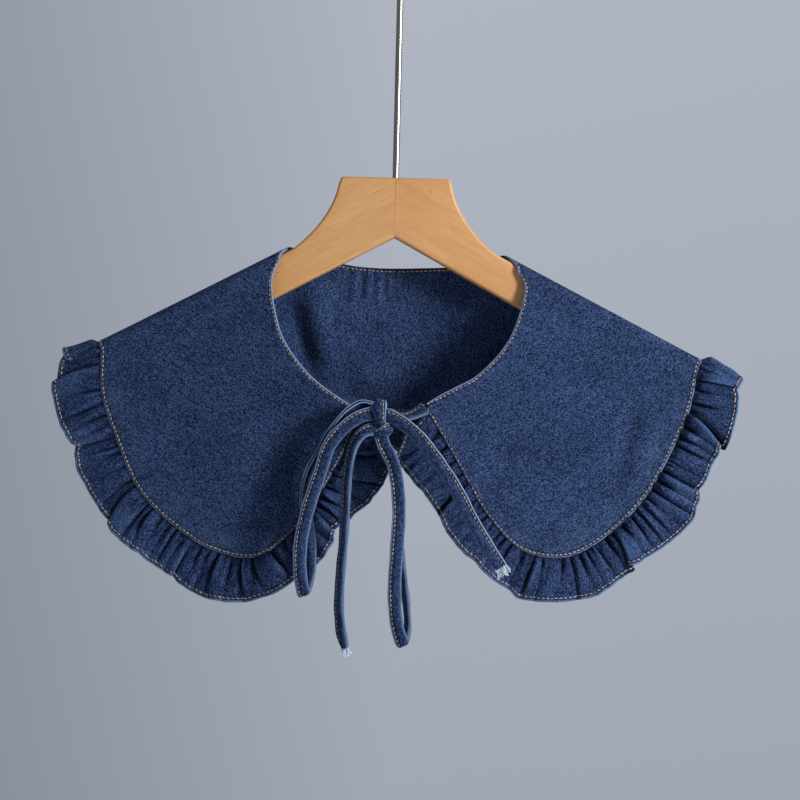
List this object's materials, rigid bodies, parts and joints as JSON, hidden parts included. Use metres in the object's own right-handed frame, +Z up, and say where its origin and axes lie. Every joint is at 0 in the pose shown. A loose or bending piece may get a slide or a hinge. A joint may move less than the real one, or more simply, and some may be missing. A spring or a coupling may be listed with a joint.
{
  "type": "ruffled detachable collar on a hanger",
  "caption": "Wide denim cape collar with a gathered ruffle edge, tied at the front in a loose bow, hung on a flat wooden hanger with a steel hook.",
  "frame": {"origin": "inside top of the hanger's hook, where a rail carries it", "axes": "+Z up, +X to the viewer's right, the collar's fronts and bow face -Y"},
  "size_m": [0.4279, 0.076, 0.4591],
  "materials": {
    "denim": "two layers of dark indigo twill with tan topstitching, matt",
    "ruffle_denim": "one layer of dark indigo twill, gathered, worn paler on its folds",
    "tie_denim": "rolled twill strip with one line of stitches and frayed ends",
    "wood": "satin lacquer over fine straight grain",
    "steel": "plain drawn wire"
  },
  "bodies": {
    "root": {"collar_body": "denim", "ruffle_left": "ruffle_denim", "ruffle_back": "ruffle_denim", "ruffle_right": "ruffle_denim", "tie_left": "tie_denim", "tie_right": "tie_denim", "bow_loop_left": "tie_denim", "bow_loop_right": "tie_denim", "tie_tail_left": "tie_denim", "tie_tail_right": "tie_denim", "bow_knot": "tie_denim", "hanger_arm_left": "wood", "hanger_arm_right": "wood", "hanger_hook": "steel"}
  },
  "joints": []
}
